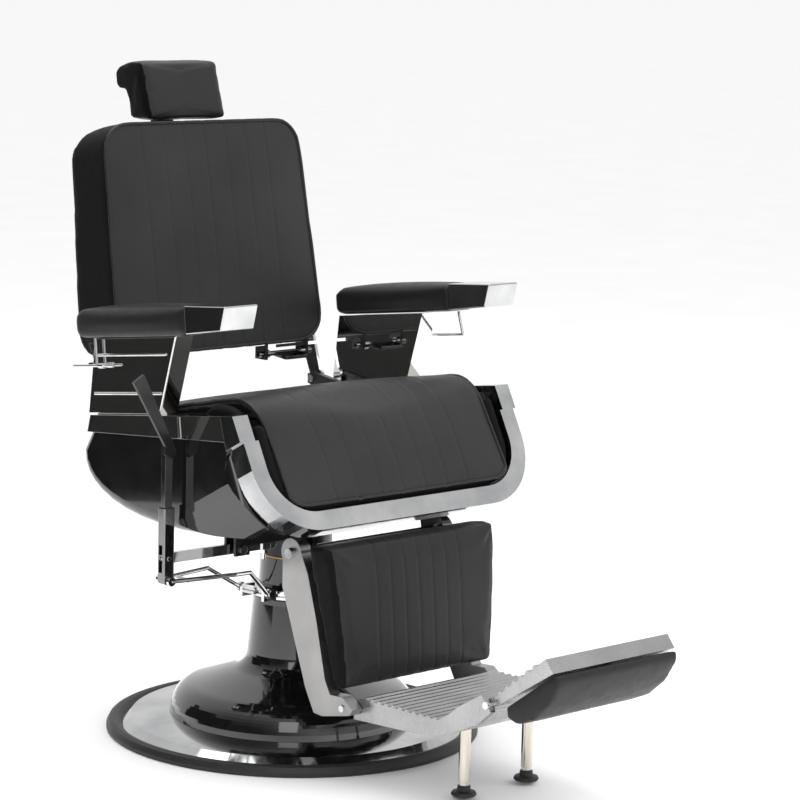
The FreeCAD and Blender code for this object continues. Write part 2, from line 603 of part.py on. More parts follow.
def seat_cushion():
    """Seat cushion with its waterfall front."""
    crest = rounded_corner(CUSHION_REAR, CUSHION_CREST, CUSHION_TOE, CUSHION_CREST_ROUND)
    pts = [V(0, y, z) for y, z in [CUSHION_REAR] + crest + [CUSHION_TOE]]
    edges = [Part.makeLine(pts[0], pts[1]), smooth_edge(pts[1:-1]), Part.makeLine(pts[-2], pts[-1])]
    board_z = BOARD_Z[1]
    under = list(CUSHION_TOE_REAR) + list(CUSHION_INNER) + [(-190, board_z), (CUSHION_REAR[0], board_z)]
    chain = [pts[-1]] + [V(0, y, z) for y, z in under] + [pts[0]]
    edges += [Part.makeLine(a, b) for a, b in zip(chain, chain[1:])]
    face = Part.Face(Part.Wire(edges)).translate(V(-CUSHION_X, 0, 0))
    solid = face.extrude(V(2 * CUSHION_X, 0, 0))
    solid = fillet_where(solid, 7.0, lambda e: abs(abs(mid(e).x) - CUSHION_X) < 0.1 and e.Length > 300
                         and not e.BoundBox.ZLength < 1)
    clear = slope_solid(frame_outline(FRAME_BAR + 2.0, -600.0), 900.0)
    return seat_tilt(solid).common(clear.translate(V(0, *CUSHION_FRONT_GAP)))


def arm_panel(side):
    """Tapered upright panel between rail and arm pad, with two pressed beads."""
    pts = [(PANEL_TOP_Y[1], PAD_BOTTOM), (PANEL_FOOT_Y[1], RAIL_TOP), (PANEL_FOOT_Y[0], RAIL_TOP),
           (PANEL_TOP_Y[0], PAD_BOTTOM)]
    solid = prism(pts, PANEL_X[0], PANEL_X[1])
    solid = fillet_where(solid, 3.0, lambda e: mid(e).x > PANEL_X[1] - 0.1)
    for z, y0, y1 in ((644, 0, 192), (712, -20, 178)):
        solid = solid.fuse(rod((PANEL_X[1] - 0.5, y0, z), (PANEL_X[1] - 0.5, y1, z), BEAD_R))
    solid = seat_tilt(solid.removeSplitter())
    return solid if side > 0 else mirror(solid)


def arm_pad(side):
    pts = [(PAD_REAR_Y, PAD_BOTTOM + 10), (PAD_REAR_Y - 10, PAD_BOTTOM), (PAD_FRONT_Y, PAD_BOTTOM),
           (PAD_FRONT_Y, PAD_TOP), (PAD_REAR_Y - 14, PAD_TOP), (PAD_REAR_Y, PAD_TOP - 14)]
    solid = prism(pts, PAD_X[0], PAD_X[1])
    solid = fillet_where(solid, 12.0, lambda e: mid(e).z > PAD_TOP - 1 and e.BoundBox.YLength > 100)
    solid = seat_tilt(solid)
    return solid if side > 0 else mirror(solid)


def arm_cap(side):
    """Bright end cap on the front of the arm."""
    pts = [(PAD_FRONT_Y, PAD_BOTTOM + 4), (CAP_FRONT_Y, PAD_BOTTOM + 8), (CAP_FRONT_Y - CAP_RAKE, PAD_TOP - 5),
           (PAD_FRONT_Y, PAD_TOP - 1)]
    solid = prism(pts, PAD_X[0] + 3, PAD_X[1] - 1)
    solid = fillet_where(solid, 2.5, lambda e: mid(e).y < PAD_FRONT_Y - 5)
    solid = seat_tilt(solid)
    return solid if side > 0 else mirror(solid)


def towel_wire(side):
    """Bent wire bar hanging below the arm."""
    x = PANEL_X[1] + 9
    wire = rod_path([(x, -96, PAD_BOTTOM), (x, -104, 700), (x, -24, 700)], WIRE_R)
    if side < 0:
        wire = rod_path([(x, 168, PAD_BOTTOM), (x, 168, 694), (x, 236, 694)], WIRE_R)
        wire = wire.fuse(rod((x, 120, 694), (x, 168, 694), WIRE_R))
        wire = wire.fuse(rod((x, 146, 694), (x, 160, 694), 2 * WIRE_R))
    solid = seat_tilt(wire).cut(arm_pad(1))
    return solid if side > 0 else mirror(solid)


def hinge_lugs():
    """Two lugs at the rear of the seat board for the backrest shaft."""
    y, z = BACK_PIVOT
    lugs = []
    for side in (-1, 1):
        x0, x1 = sorted((side * LUG_X[0], side * LUG_X[1]))
        lug = prism([(150, 562), (150, 600), (y - 4, z + 12), (y + 12, z + 8), (y + 12, z - 10)], x0, x1)
        lug = lug.cut(seat_board()).cut(seat_cushion())
        lug = lug.cut(rod((x0 - 1, y, z), (x1 + 1, y, z), HINGE_PIN_R))
        lugs.append(max(lug.Solids, key=lambda part: part.Volume))
    return Part.makeCompound(lugs)


def hinge_pins():
    y, z = BACK_PIVOT
    pins = []
    for side in (-1, 1):
        pins.append(rod((side * (LUG_X[0] - 4), y, z), (side * HINGE_X, y, z), HINGE_PIN_R))
    return Part.makeCompound(pins)


def slide_slope(y):
    """Height of the leg-slide bars' centre line at a given Y."""
    return SLIDE_Z + (y - LEG_PIVOT[0]) * SLIDE_SLOPE


def slide_profile(y0, y1, half):
    return [(y0, slide_slope(y0) - half), (y1, slide_slope(y1) - half),
            (y1, slide_slope(y1) + half), (y0, slide_slope(y0) + half)]


def slide_hangers():
    """Two hangers under the subframe that guide the leg-slide bars."""
    hangers = []
    for side in (-1, 1):
        x0, x1 = sorted((side * (SLIDE_X[0] - 6), side * (SLIDE_X[1] + 5)))
        hanger = box(x0, x1, -150, -106, 400, 552).cut(seat_subframe())
        gap0, gap1 = sorted((side * (SLIDE_X[0] - RUN_GAP), side * (SLIDE_X[1] + RUN_GAP)))
        hanger = hanger.cut(prism(slide_profile(-200, -60, SLIDE_HALF + RUN_GAP), gap0, gap1))
        hangers.append(min(hanger.Solids, key=lambda part: part.CenterOfMass.z))
    return Part.makeCompound(hangers)


def slide_bars():
    """Two bars that run in the hangers, each with a lug for the leg-rest shaft."""
    y, z = LEG_PIVOT
    bars = []
    for side in (-1, 1):
        x0, x1 = sorted((side * SLIDE_X[0], side * SLIDE_X[1]))
        bar = prism(slide_profile(y - 24, -12, SLIDE_HALF), x0, x1)
        lug = prism([(y - 14, z), (y + 14, z), (y + 18, z + 24), (y - 20, z + 18)], x0, x1)
        bar = bar.fuse(lug).fuse(rod((x0, y, z), (x1, y, z), 14.0)).removeSplitter()
        bars.append(bar.cut(rod((x0 - 1, y, z), (x1 + 1, y, z), LEG_SHAFT_R)))
    return Part.makeCompound(bars)


def leg_shaft():
    y, z = LEG_PIVOT
    return rod((-LEG_SHAFT_HALF, y, z), (LEG_SHAFT_HALF, y, z), LEG_SHAFT_R)


# ----------------------------------------------------------------------------------------------------
def lean(shape):
    """Turn an upright backrest shape to its reclined rest angle."""
    return shape.rotate(V(0, BACK_BOTTOM[0], BACK_BOTTOM[1]), V(1, 0, 0), -BACK_LEAN)


def back_prism(points, x0, x1):
    """Profile given as (depth behind the front face, height above the bottom edge)."""
    y0, z0 = BACK_BOTTOM
    return prism([(y0 + r, z0 + u) for r, u in points], x0, x1)


def back_cushion():
    y0, z0 = BACK_BOTTOM
    low, top = BACK_HALF_LOW, BACK_HALF_TOP
    plan = [V(-low, y0, z0), V(low, y0, z0), V(top, y0, z0 + BACK_HEIGHT), V(-top, y0, z0 + BACK_HEIGHT)]
    block = Part.Face(Part.makePolygon(plan + [plan[0]])).extrude(V(0, 150, 0))
    block = fillet_where(block, BACK_CORNER, lambda e: e.BoundBox.YLength > 100)
    side = back_prism([(0, 0), (0, BACK_HEIGHT), (58, BACK_HEIGHT), (88, BACK_HEIGHT - 10),
                       (BACK_THICK_TOP, BACK_HEIGHT - BACK_CROWN), (BACK_THICK_LOW, 20),
                       (BACK_THICK_LOW - 6, 0)], -300, 300)
    solid = block.common(side)
    solid = fillet_where(solid, 6.0, lambda e: mid(e).y < y0 + 0.1)
    return lean(solid)


def back_panel():
    """Rear cover board."""
    low, top, half = BACK_THICK_LOW, BACK_THICK_TOP, BOARD_BACK_HALF
    high_u = BACK_HEIGHT - BACK_CROWN
    return lean(back_prism([(top, high_u), (low, 24), (low + 7, 24), (top + 7, high_u)], -half, half))


def back_arms():
    """Two flat hinge arms from the shaft to the backrest's underside."""
    y, z = BACK_PIVOT
    arms = []
    for side in (-1, 1):
        x0, x1 = sorted((side * BACK_ARM_X[0], side * BACK_ARM_X[1]))
        arm = prism([(y - 14, z - 10), (y + 14, z - 10), (y + 62, z + 96), (y + 20, z + 96)], x0, x1)
        arm = arm.fuse(rod((x0, y, z), (x1, y, z), 17.0))
        foot = lean(box(side * 246 - (44 if side > 0 else 0), side * 246 + (0 if side > 0 else 44),
                        BACK_BOTTOM[0] + 26, BACK_BOTTOM[0] + 96, BACK_BOTTOM[1] - 6, BACK_BOTTOM[1]))
        arm = arm.fuse(foot).cut(back_cushion()).cut(rod((x0 - 2, y, z), (x1 + 2, y, z), HINGE_PIN_R + RUN_GAP))
        arms.append(max(arm.Solids, key=lambda part: part.Volume))
    return Part.makeCompound(arms)


def headrest_guide():
    """Channel on the rear board that holds the headrest stem."""
    guide = lean(back_prism([(112, 306), (131, 306), (131, 386), (108, 386)], -36, 36))
    slot = lean(back_prism([(119 - RUN_GAP, 300), (125 + RUN_GAP, 300), (125 + RUN_GAP, 400),
                            (119 - RUN_GAP, 400)], -25 - RUN_GAP, 25 + RUN_GAP))
    return guide.cut(back_panel()).cut(back_cushion()).cut(slot)


def headrest_stem():
    """Flat notched stem with the wide plate that carries the pad."""
    (near, far), (foot, top) = STEM_DEPTH, STEM_HEIGHT
    stem = back_prism([(near, foot), (far, foot), (far, top), (near, top)], -STEM_HALF, STEM_HALF)
    stem = stem.fuse(back_prism([(109, 448), (114, 448), (114, 486), (109, 486)], -78, 78))
    stem = stem.fuse(back_prism([(114, 452), (119, 452), (119, 486), (114, 486)], -25, 25))
    for k in range(STEM_NOTCHES):
        u = 396 + STEM_NOTCH_PITCH * k
        notch = back_prism([(far - 3, u), (far + 1, u - 2), (far + 1, u + 4)], STEM_HALF - 10, STEM_HALF + 1)
        stem = stem.cut(notch)
    return lean(stem.removeSplitter())


def headrest_pad():
    """Padded headrest with a rolled rear edge over its plate."""
    solid = prism(HEAD_FRONT + HEAD_TOP + HEAD_ROLL, -HEAD_HALF, HEAD_HALF)
    solid = fillet_where(solid, 5.0, lambda e: abs(mid(e).x) > HEAD_HALF - 0.1)
    return solid.cut(headrest_stem())


def recline_brackets():
    """Two small ears under the backrest for the release handle."""
    ears = []
    for x in (96, 196):
        ear = box(x, x + 6, 206, 236, 646, 680)
        ears.append(ear.cut(back_cushion()).cut(rod((x - 1, RECLINE[0], RECLINE[1]),
                                                    (x + 7, RECLINE[0], RECLINE[1]), 5.0 + RUN_GAP)))
    return Part.makeCompound([max(e.Solids, key=lambda part: part.Volume) for e in ears])


def recline_handle():
    """Cross rod with a flat grip that releases the recline lock."""
    y, z = RECLINE
    handle = rod((84, y, z), (214, y, z), 5.0).fuse(rod((103, y, z), (109, y, z), 8.0))
    handle = handle.fuse(rod((184, y, z), (195, y, z), 9.0))
    grip = prism([(y + 4, z + 4), (y - 36, z - 2), (y - 36, z - 8), (y + 4, z - 4)], 122, 178)
    return handle.fuse(grip).removeSplitter()


# ----------------------------------------------------------------------------------------------------
def leg_bracket(side):
    """Cast arm from the pivot down to a forward foot."""
    y, z = LEG_PIVOT
    boss = ((y - LEG_BOSS_R, z + 4), (y + LEG_BOSS_R - 4, z - 12))
    solid = prism(boss + BRACKET_SHIN + BRACKET_FOOT + BRACKET_FRONT, BRACKET_X[0], BRACKET_X[1])
    solid = solid.fuse(rod((BRACKET_X[0], y, z), (BRACKET_X[1], y, z), LEG_BOSS_R))
    hole = rod((BRACKET_X[0] - 1, y, z), (BRACKET_X[1] + 1, y, z), LEG_SHAFT_R + RUN_GAP)
    solid = solid.removeSplitter().cut(hole)
    return solid if side > 0 else mirror(solid)


def leg_pad():
    """Padded leg rest, slightly narrower at the foot."""
    top, low = LEG_PAD_HALF_TOP, LEG_PAD_HALF_LOW
    pts = [V(0, y, z) for y, z in LEG_PAD_FRONT]
    edges = [smooth_edge(pts)]
    chain = [pts[-1]] + [V(0, y, z) for y, z in LEG_PAD_REAR] + [pts[0]]
    edges += [Part.makeLine(a, b) for a, b in zip(chain, chain[1:])]
    solid = Part.Face(Part.Wire(edges)).translate(V(-top, 0, 0)).extrude(V(2 * top, 0, 0))
    for side in (-1, 1):
        cut = prism_y([(side * low, 150), (side * top, 430), (side * 260, 430), (side * 260, 150)], -400, -200)
        solid = solid.cut(cut)
    solid = fillet_where(solid, 7.0, lambda e: mid(e).y < -320 and abs(mid(e).x) > 170)
    return solid.cut(leg_bracket(1)).cut(leg_bracket(-1))


def footplate():
    """Ribbed cast step, flat then turned up towards the flip panel, with two end ears."""
    plate = prism(STEP_UNDER + STEP_TOP, -PLATE_HALF, PLATE_HALF)
    rib_y, rib_z = STEP_RIB_START
    for k in range(STEP_RIBS):
        y, z = rib_y - STEP_RIB_PITCH * k, rib_z + 0.2 * k
        plate = plate.fuse(rod((-PLATE_HALF, y, z), (PLATE_HALF, y, z), STEP_RIB_R))
    for side in (-1, 1):
        x0, x1 = sorted((side * (PLATE_HALF - STEP_EAR_THICK), side * PLATE_HALF))
        plate = plate.fuse(prism(STEP_EAR, x0, x1))
    pivot = rod((-200, FLIP_PIVOT[0], FLIP_PIVOT[1]), (200, FLIP_PIVOT[0], FLIP_PIVOT[1]), FLIP_PIN_R)
    return plate.cut(pivot).removeSplitter()


def flip_pins():
    y, z = FLIP_PIVOT
    pins = []
    for side in (-1, 1):
        shank = rod((side * (PLATE_HALF - 25), y, z), (side * (PLATE_HALF + 3), y, z), FLIP_PIN_R)
        pins.append(shank.fuse(rod((side * PLATE_HALF, y, z), (side * (PLATE_HALF + 3), y, z), FLIP_PIN_R + 2.5)))
    return Part.makeCompound(pins)


def flip_panel():
    """Hinged front step with ribs on its upper face."""
    y, z = FLIP_PIVOT
    half = PLATE_HALF - STEP_EAR_THICK - 1
    tip_y, tip_z = FLIP_TIP[0]
    panel = prism([(y - 2, z + FLIP_BARREL_R), *FLIP_TIP, (y - FLIP_BARREL_R, z - 2)], -half, half)
    panel = panel.fuse(rod((-half, y, z), (half, y, z), FLIP_BARREL_R))
    for k in range(FLIP_RIBS):
        t = 0.14 + 0.13 * k
        ry, rz = y - 2 + t * (tip_y + 2 - y), z + 9 + t * (tip_z - FLIP_BARREL_R - z)
        panel = panel.fuse(rod((-half, ry, rz), (half, ry, rz), FLIP_RIB_R))
    return panel.cut(rod((-200, y, z), (200, y, z), FLIP_PIN_R + RUN_GAP)).removeSplitter()


def calf_pad():
    """Padded underside of the flip panel."""
    return prism(CALF_UNDER, -CALF_HALF, CALF_HALF).cut(flip_panel())


def stand_legs():
    """Two plated legs under the footplate."""
    legs = [Part.makeCylinder(STAND_R, 106, V(side * STAND_X, STAND_Y, 30)).cut(footplate()) for side in (-1, 1)]
    return Part.makeCompound([max(leg.Solids, key=lambda part: part.Volume) for leg in legs])


def stand_nuts():
    nuts = [hex_bolt(side * STAND_X, STAND_Y, 24.0, 4.0, 1.0, 9.0, 6.0) for side in (-1, 1)]
    return Part.makeCompound(nuts)


def stand_feet():
    feet = []
    for side in (-1, 1):
        foot = turned([(0, FLOOR_GAP), (20, FLOOR_GAP), (22, FLOOR_GAP + 3), (20, FLOOR_GAP + 7),
                       (12, FLOOR_GAP + 9), (11, FLOOR_GAP + 17), (0, FLOOR_GAP + 17)])
        feet.append(foot.translate(V(side * STAND_X, STAND_Y, 0)))
    return Part.makeCompound(feet)


def foot_screws():
    """Button screws through the bracket feet."""
    screws = []
    for side in (-1, 1):
        screws.append(rod((side * BRACKET_X[1], -335, 133), (side * (BRACKET_X[1] + 3), -335, 133), 6.0))
    return Part.makeCompound(screws)


PARTS = {
    "base_edge_ring": edge_ring,
    "base_plate": base_plate,
    "bell_and_neck": bell,
    "pump_cylinder": pump_cylinder,
    "cylinder_bolts": cylinder_bolts,
    "thrust_washer": thrust_washer,
    "pump_head": pump_head,
    "fulcrum_bracket": fulcrum_bracket,
    "fulcrum_pin": fulcrum_pin,
    "yoke_collar": yoke_collar,
    "yoke_pins": yoke_pins,
    "yoke_rods": yoke_rods,
    "pump_bar": pump_bar,
    "adjusting_bolt": adjusting_bolt,
    "lever_sleeve": lever_sleeve,
    "lever_pivot_pin": hand_pin,
    "lever_bar": lever_bar,
    "lever_paddle": lever_paddle,
    "ram": ram,
    "seat_subframe": seat_subframe,
    "seat_board": seat_board,
    "front_frame": front_frame,
    "rail_end_sleeves": rail_sleeves,
    "seat_cushion": seat_cushion,
    "back_hinge_lugs": hinge_lugs,
    "back_hinge_pins": hinge_pins,
    "leg_slide_hangers": slide_hangers,
    "leg_slide_bars": slide_bars,
    "leg_rest_shaft": leg_shaft,
    "back_cushion": back_cushion,
    "back_panel": back_panel,
    "back_hinge_arms": back_arms,
    "headrest_guide": headrest_guide,
    "headrest_stem": headrest_stem,
    "headrest_pad": headrest_pad,
    "recline_brackets": recline_brackets,
    "recline_handle": recline_handle,
    "leg_pad": leg_pad,
    "footplate": footplate,
    "flip_hinge_pins": flip_pins,
    "flip_panel": flip_panel,
    "calf_pad": calf_pad,
    "stand_legs": stand_legs,
    "stand_lock_nuts": stand_nuts,
    "stand_feet": stand_feet,
    "leg_rest_screws": foot_screws,
}

SIDED_PARTS = {
    "side_rail": rail,
    "side_apron": apron,
    "arm_panel": arm_panel,
    "arm_pad": arm_pad,
    "arm_front_cap": arm_cap,
    "towel_wire": towel_wire,
    "leg_bracket": leg_bracket,
}

os.makedirs("parts", exist_ok=True)
for name, make in PARTS.items():
    make().exportStep("parts/" + name + ".step")
for name, make in SIDED_PARTS.items():
    make(-1).exportStep("parts/" + name + "_right.step")
    make(1).exportStep("parts/" + name + "_left.step")
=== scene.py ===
import bpy
import bmesh
import math
from mathutils import Matrix, Vector
from mathutils.bvhtree import BVHTree


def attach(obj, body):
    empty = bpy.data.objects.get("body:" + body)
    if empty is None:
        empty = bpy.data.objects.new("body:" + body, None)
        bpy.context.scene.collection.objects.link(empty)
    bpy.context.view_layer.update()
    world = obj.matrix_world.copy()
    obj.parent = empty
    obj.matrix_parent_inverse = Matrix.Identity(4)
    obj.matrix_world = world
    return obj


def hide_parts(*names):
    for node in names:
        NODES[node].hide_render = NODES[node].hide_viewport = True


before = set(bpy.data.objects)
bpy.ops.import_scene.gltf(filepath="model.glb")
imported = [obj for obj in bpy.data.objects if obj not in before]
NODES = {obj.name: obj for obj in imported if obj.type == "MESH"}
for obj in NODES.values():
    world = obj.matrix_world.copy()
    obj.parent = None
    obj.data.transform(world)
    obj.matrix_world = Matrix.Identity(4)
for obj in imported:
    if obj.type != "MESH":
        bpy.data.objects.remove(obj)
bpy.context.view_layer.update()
scene = bpy.context.scene

# The backrest and the seat lie in tilted frames. Their zero points and angles follow the CAD model.
BACK_LEAN = math.radians(10.3)
BACK_BASE = Vector((0.0, 0.206, 0.674))
SEAT_TILT = math.radians(7.2)
SEAT_PIVOT_Z = 0.609
BACK_HALF_LOW = 0.249
BACK_TAPER = 0.017          # how much narrower each side of the back is at its top
BACK_HEIGHT = 0.428
BACK_PITCH = 0.049          # spacing of the sewn lines
SEAT_PITCH = 0.052
LEG_PITCH = 0.033
PIPING_R = 0.0032
PIPING_LIFT = 0.0012
PRESSURE = 4.0              # inflation of every padded cover
CLOTH_FRAMES = 20
STITCH_HALF_WIDTH = 0.0032
LEG_LEAN = math.radians(6.0)
CALF_LEAN = math.radians(34.0)


# --- materials --------------------------------------------------------------------------------------
class Nodes:
    """Small helper round one material's node tree."""

    def __init__(self, name):
        self.mat = bpy.data.materials.new(name)
        self.mat.use_nodes = True
        self.tree = self.mat.node_tree
        self.bsdf = self.tree.nodes["Principled BSDF"]
        self.coord = self.tree.nodes.new("ShaderNodeTexCoord").outputs["Object"]

    def link(self, a, b):
        self.tree.links.new(a, b)

    def math(self, op, a, b=0.0, c=0.0):
        n = self.tree.nodes.new("ShaderNodeMath")
        n.operation = op
        for socket, value in zip(n.inputs, (a, b, c)):
            if isinstance(value, (int, float)):
                socket.default_value = value
            else:
                self.link(value, socket)
        return n.outputs[0]

    def stretched(self, scale):
        n = self.tree.nodes.new("ShaderNodeMapping")
        n.inputs["Scale"].default_value = scale
        self.link(self.coord, n.inputs["Vector"])
        return n.outputs[0]

    def noise(self, scale, detail=3.0, vector=None, rough=0.5):
        n = self.tree.nodes.new("ShaderNodeTexNoise")
        n.inputs["Scale"].default_value = scale
        n.inputs["Detail"].default_value = detail
        n.inputs["Roughness"].default_value = rough
        self.link(vector or self.coord, n.inputs["Vector"])
        return n.outputs["Fac"]

    def cells(self, scale, feature="F1"):
        n = self.tree.nodes.new("ShaderNodeTexVoronoi")
        n.feature = feature
        n.inputs["Scale"].default_value = scale
        self.link(self.coord, n.inputs["Vector"])
        return n.outputs["Distance"]

    def ramp(self, fac, low, high, a=0.0, b=1.0):
        n = self.tree.nodes.new("ShaderNodeMapRange")
        for key, value in (("From Min", a), ("From Max", b), ("To Min", low), ("To Max", high)):
            n.inputs[key].default_value = value
        self.link(fac, n.inputs["Value"])
        return n.outputs[0]

    def colour(self, fac, low, high):
        n = self.tree.nodes.new("ShaderNodeMix")
        n.data_type = "RGBA"
        n.inputs["A"].default_value = (*low, 1)
        n.inputs["B"].default_value = (*high, 1)
        self.link(fac, n.inputs["Factor"])
        return n.outputs["Result"]

    def bump(self, height, distance, strength=1.0, normal=None):
        n = self.tree.nodes.new("ShaderNodeBump")
        n.inputs["Distance"].default_value = distance
        n.inputs["Strength"].default_value = strength
        self.link(height, n.inputs["Height"])
        if normal is not None:
            self.link(normal, n.inputs["Normal"])
        return n.outputs[0]

    def round_edges(self, radius):
        n = self.tree.nodes.new("ShaderNodeBevel")
        n.samples = 4
        n.inputs["Radius"].default_value = radius
        return n.outputs[0]

    def put(self, key, value):
        socket = self.bsdf.inputs[key]
        if isinstance(value, (int, float, tuple)):
            socket.default_value = value
        else:
            self.link(value, socket)


def leather(name, low, high, rough, pitch=0.0, lines=3, gleam=0.28):
    """Grained leathercloth; pitch is the spacing of sewn lines running at constant X."""
    n = Nodes(name)
    cloudy = n.noise(7.0, 4.0)
    n.put("Base Color", n.colour(n.ramp(cloudy, 0.0, 1.0, 0.3, 0.7), low, high))
    n.put("Roughness", n.ramp(n.noise(60.0, 2.0), rough - 0.05, rough + 0.06, 0.3, 0.7))
    n.put("Specular IOR Level", gleam)
    n.put("Sheen Weight", 0.02)
    grain = n.math("MULTIPLY", n.ramp(n.cells(950.0), 1.0, 0.0, 0.0, 0.7), n.ramp(n.noise(300.0), 0.5, 1.0))
    normal = n.bump(grain, 0.00012, 0.75)
    soft = n.noise(22.0, 3.0)
    normal = n.bump(soft, 0.0012, 0.35, normal)
    if pitch:
        parts = n.tree.nodes.new("ShaderNodeSeparateXYZ")
        n.link(n.coord, parts.inputs[0])
        x = parts.outputs[0]
        cell = n.math("FRACT", n.math("ADD", n.math("DIVIDE", x, pitch), 0.5))
        away = n.math("MULTIPLY", n.math("ABSOLUTE", n.math("SUBTRACT", cell, 0.5)), pitch)
        inside = n.math("LESS_THAN", n.math("ABSOLUTE", x), (lines + 0.4) * pitch)
        groove = n.math("MULTIPLY", n.ramp(away, 1.0, 0.0, 0.0, 0.0010), inside)
        normal = n.bump(n.math("MULTIPLY", groove, -1.0), 0.0008, 0.8, normal)
    n.put("Normal", normal)
    return n.mat


def metal(name, low, high, rough, spread=0.03, streak=None, streak_depth=0.00003, edge=0.0007):
    """Metal with a slightly uneven polish; streak is the stretch of its brushing."""
    n = Nodes(name)
    n.put("Metallic", 1.0)
    cloudy = n.noise(11.0, 4.0)
    n.put("Base Color", n.colour(n.ramp(cloudy, 0.0, 1.0, 0.3, 0.7), low, high))
    normal = n.round_edges(edge)
    if streak:
        lines = n.noise(90.0, 4.0, n.stretched(streak), 0.7)
        n.put("Roughness", n.ramp(lines, rough - spread, rough + spread, 0.3, 0.7))
        normal = n.bump(lines, streak_depth, 1.0, normal)
    else:
        n.put("Roughness", n.ramp(n.noise(45.0, 3.0), rough - spread, rough + spread, 0.3, 0.7))
        normal = n.bump(n.noise(18.0, 2.0), 0.0004, 0.12, normal)
    n.put("Normal", normal)
    return n.mat


def gloss(name, colour, rough, coat=1.0, edge=0.001):
    n = Nodes(name)
    fine = n.ramp(n.noise(35.0, 4.0), 0.0, 1.0, 0.3, 0.7)
    n.put("Base Color", n.colour(fine, colour, tuple(c * 1.5 + 0.002 for c in colour)))
    n.put("Roughness", n.ramp(n.noise(60.0, 3.0), rough, rough + 0.05, 0.3, 0.7))
    n.put("Coat Weight", coat)
    n.put("Coat Roughness", 0.03)
    n.put("Normal", n.bump(n.noise(14.0, 2.0), 0.0005, 0.15, n.round_edges(edge)))
    return n.mat


def matte(name, low, high, rough, scale, depth):
    n = Nodes(name)
    fine = n.noise(scale, 4.0)
    n.put("Base Color", n.colour(n.ramp(fine, 0.0, 1.0, 0.3, 0.7), low, high))
    n.put("Roughness", n.ramp(fine, rough - 0.06, rough + 0.06, 0.3, 0.7))
    n.put("Normal", n.bump(fine, depth, 0.8, n.round_edges(0.0008)))
    return n.mat


def ply(name):
    n = Nodes(name)
    bands = n.noise(30.0, 5.0, n.stretched((1.0, 0.1, 6.0)))
    n.put("Base Color", n.colour(n.ramp(bands, 0.0, 1.0, 0.3, 0.7), (0.012, 0.010, 0.009), (0.022, 0.018, 0.015)))
    n.put("Roughness", 0.6)
    n.put("Normal", n.bump(bands, 0.0002, 0.6))
    return n.mat


DARK, GREY = (0.013, 0.0132, 0.0136), (0.020, 0.0203, 0.0208)
back_leather = leather("leather_back", (0.015, 0.0153, 0.0152), (0.021, 0.0213, 0.0212), 0.42, BACK_PITCH)
seat_leather = leather("leather_seat", (0.016, 0.0163, 0.0162), (0.022, 0.0223, 0.0222), 0.42, SEAT_PITCH)
leg_leather = leather("leather_leg", (0.012, 0.0122, 0.0122), (0.017, 0.0172, 0.0172), 0.44, LEG_PITCH)
plain_leather = leather("leather_plain", (0.008, 0.0081, 0.0081), (0.012, 0.0121, 0.0121), 0.40)
head_leather = leather("leather_head", (0.013, 0.0133, 0.0132), (0.018, 0.0183, 0.0182), 0.42)
# Nearly black, duller copy of the leathercloth: painted shade for the side faces of the pads and the strips round the
# seat
painted_shade_leather = leather("leather_painted_shade", (0.0022, 0.0022, 0.0023), (0.0038, 0.0038, 0.0039), 0.55, gleam=0.10)
calf_leather = leather("leather_calf", (0.010, 0.0101, 0.0102), (0.015, 0.0151, 0.0152), 0.45)
piping_leather = leather("leather_piping", DARK, GREY, 0.33)
polished = metal("polished_steel", (0.42, 0.43, 0.44), (0.66, 0.66, 0.66), 0.08)
mirror_steel = metal("mirror_steel", (0.78, 0.77, 0.75), (0.84, 0.83, 0.81), 0.05, 0.02)
chrome = metal("chrome", (0.72, 0.72, 0.73), (0.80, 0.80, 0.81), 0.06, 0.02, edge=0.0005)
dark_chrome = metal("dark_chrome", (0.20, 0.20, 0.20), (0.28, 0.28, 0.28), 0.10, 0.03)
cast = metal("cast_aluminium", (0.40, 0.40, 0.405), (0.52, 0.52, 0.52), 0.27, 0.06, (0.6, 5.0, 0.6), 0.00004,
             edge=0.0012)
linished = metal("linished_aluminium", (0.38, 0.375, 0.37), (0.47, 0.465, 0.46), 0.33, 0.06, (6.0, 6.0, 0.5), 0.00005,
                 edge=0.0012)
nickel = metal("nickel", (0.62, 0.58, 0.50), (0.72, 0.68, 0.60), 0.16, 0.04, (1.0, 1.0, 12.0), 0.00002)
turned = metal("turned_steel", (0.50, 0.50, 0.50), (0.60, 0.60, 0.60), 0.24, 0.05, (1.0, 1.0, 14.0), 0.00002)
bronze = metal("bronze", (0.45, 0.28, 0.12), (0.55, 0.36, 0.17), 0.35, 0.05)
gloss_black = gloss("gloss_black", (0.004, 0.004, 0.004), 0.06)
black_enamel = gloss("black_enamel", (0.004, 0.004, 0.004), 0.30, 0.12)
rubber = matte("black_rubber", (0.010, 0.010, 0.010), (0.018, 0.018, 0.018), 0.48, 160.0, 0.0002)
board = matte("black_board", (0.010, 0.010, 0.011), (0.017, 0.017, 0.018), 0.6, 420.0, 0.0002)
stained_ply = ply("stained_ply")

